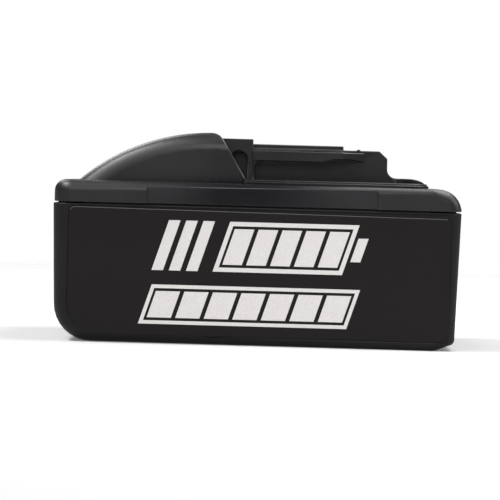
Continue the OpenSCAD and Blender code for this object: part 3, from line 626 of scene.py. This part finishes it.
def addRod(bm, place, low, high, lowRadius, highRadius, sides):
    return bmesh.ops.create_cone(
        bm,
        cap_ends=True,
        segments=sides,
        radius1=lowRadius,
        radius2=highRadius,
        depth=high - low,
        matrix=Matrix.Translation((place.x, place.y, (low + high) / 2)),
    )


def addScrew(bm, place, top, bottom, setup, sizes):
    headLow = top - sizes["headHeight"]
    made = addRod(bm, place, headLow, top, sizes["head"], sizes["head"], sizes["headSides"])
    around = {f for v in made["verts"] for f in v.link_faces}
    upper = max(around, key=lambda f: f.calc_center_median().z)
    bmesh.ops.bevel(
        bm,
        geom=list(upper.edges),
        offset=setup["rim"],
        affect="EDGES",
        segments=3,
        profile=0.5,
        material=-1,
    )
    near = [f for f in bm.faces if (f.calc_center_median().xy - place.xy).length < sizes["head"]]
    upper = max(near, key=lambda f: (round(f.calc_center_median().z, 7), f.calc_area()))
    bmesh.ops.inset_region(bm, faces=[upper], thickness=setup["driveInset"])
    for vert in upper.verts:
        offset = vert.co.xy - place.xy
        wave = 1 + setup["lobeDepth"] * math.cos(setup["lobes"] * math.atan2(offset.y, offset.x))
        offset = offset.normalized() * setup["driveRadius"] * wave
        vert.co.x = place.x + offset.x
        vert.co.y = place.y + offset.y
    socket = bmesh.ops.extrude_face_region(bm, geom=[upper])
    lowered = [g for g in socket["geom"] if isinstance(g, bmesh.types.BMVert)]
    bmesh.ops.translate(bm, vec=(0, 0, -setup["driveDepth"]), verts=lowered)
    bmesh.ops.delete(bm, geom=[upper], context="FACES_ONLY")
    shank = sizes["shank"]
    shankLow = bottom + sizes["tip"]
    addRod(bm, place, shankLow, headLow, shank, shank, sizes["shankSides"])
    addRod(bm, place, bottom, shankLow, shank * sizes["point"], shank, sizes["shankSides"])


def makeScrews(setup, sizes):
    low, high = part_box("case_screws")
    bm = bmesh.new()
    for x in (low.x + sizes["head"], high.x - sizes["head"]):
        for y in (low.y + sizes["head"], high.y - sizes["head"]):
            addScrew(bm, Vector((x, y, 0)), high.z, low.z, setup, sizes)
    smoothUpTo(bm, setup["smooth"])
    piece = addPiece("caseScrewSet", bm, finishes["screw_steel"], "pack")
    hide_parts("case_screws")


makeScrews(screwSetup, screwSizes)
print("screws made")

# latch springs: wound wire
springSetup = {
    "turns": 5,
    "wire": 0.7 * mm,
    "coil": 5.4 * mm,
    "travel": 4.0 * mm,
    "sides": 12,
    "stepsPerTurn": 28,
    "smooth": 50,
}


def makeSpring(name, node, setup):
    low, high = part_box(node)
    middle = (low + high) / 2
    bm = bmesh.new()
    start = Matrix.Translation((middle.x + setup["coil"] / 2, middle.y, low.z + setup["wire"] / 2))
    upright = Matrix.Rotation(math.radians(90), 4, "X")
    ring = bmesh.ops.create_circle(
        bm, cap_ends=True, segments=setup["sides"], radius=setup["wire"] / 2, matrix=start @ upright
    )
    steps = setup["turns"] * setup["stepsPerTurn"]
    rise = (high.z - low.z - setup["wire"]) / steps
    faces = list({f for v in ring["verts"] for f in v.link_faces})
    bmesh.ops.spin(
        bm,
        geom=faces,
        cent=middle,
        axis=(0, 0, 1),
        dvec=(0, 0, rise),
        angle=math.radians(360 * setup["turns"]),
        steps=steps,
        use_duplicate=False,
        use_merge=False,
    )
    bmesh.ops.recalc_face_normals(bm, faces=bm.faces)
    smoothUpTo(bm, setup["smooth"])
    piece = addPiece(name, bm, finishes["spring_steel"], "pack")
    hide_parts(node)
    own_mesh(piece)


makeSpring("leftSpring", "latch_spring_left", springSetup)
makeSpring("rightSpring", "latch_spring_right", springSetup)
print("springs wound")

# foam strips under the carrier, crowned between their edges
padSetup = {"edge": 0.2 * mm, "cuts": 6, "width": 10.0 * mm, "hollow": 0.05 * mm, "smooth": 40}


def makePads(setup):
    low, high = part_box("cell_pads")
    bm = bmesh.new()
    size = Vector((high.x - low.x, setup["width"], high.z - low.z))
    for y in (low.y + setup["width"] / 2, high.y - setup["width"] / 2):
        place = Matrix.Translation((0, y, (low.z + high.z) / 2)) @ Matrix.Diagonal((*size, 1))
        bmesh.ops.create_cube(bm, size=1.0, matrix=place)
    bmesh.ops.bevel(
        bm,
        geom=list(bm.edges),
        offset=setup["edge"],
        affect="EDGES",
        segments=3,
        profile=0.5,
        material=-1,
    )
    longWay = [e for e in bm.edges if abs(e.verts[0].co.x - e.verts[1].co.x) > size.x / 2]
    bmesh.ops.subdivide_edges(bm, edges=longWay, cuts=setup["cuts"], use_grid_fill=True)
    middle = (low.z + high.z) / 2
    for vert in bm.verts:
        share = abs(vert.co.x) / (size.x / 2)
        inward = 1 if vert.co.z < middle else -1
        vert.co.z += inward * setup["hollow"] * share
    smoothUpTo(bm, setup["smooth"])
    piece = addPiece("foamStrips", bm, finishes["foam"], "pack")
    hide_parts("cell_pads")


makePads(padSetup)
print("pads made")

# pale floor
floorSetup = {
    "radius": 0.62,
    "segments": 96,
    "dark": (0.37, 0.37, 0.37),
    "pale": (0.40, 0.40, 0.40),
    "rough": 0.9,
    "glow": 0.14,
}


def makeFloor(setup):
    bm = bmesh.new()
    bmesh.ops.create_circle(bm, cap_ends=True, segments=setup["segments"], radius=setup["radius"])
    mesh = bpy.data.meshes.new("studioFloor")
    bm.to_mesh(mesh)
    bm.free()
    finish = Finish("floorPaper")
    finish.colour(finish.noise(3), setup["dark"], setup["pale"])
    finish.set(Roughness=setup["rough"], Emission_Color=(1, 1, 1, 1), Emission_Strength=setup["glow"])
    mesh.materials.append(finish.material)
    floor = bpy.data.objects.new("studioFloor", mesh)
    scene.collection.objects.link(floor)


makeFloor(floorSetup)
print("floor laid")
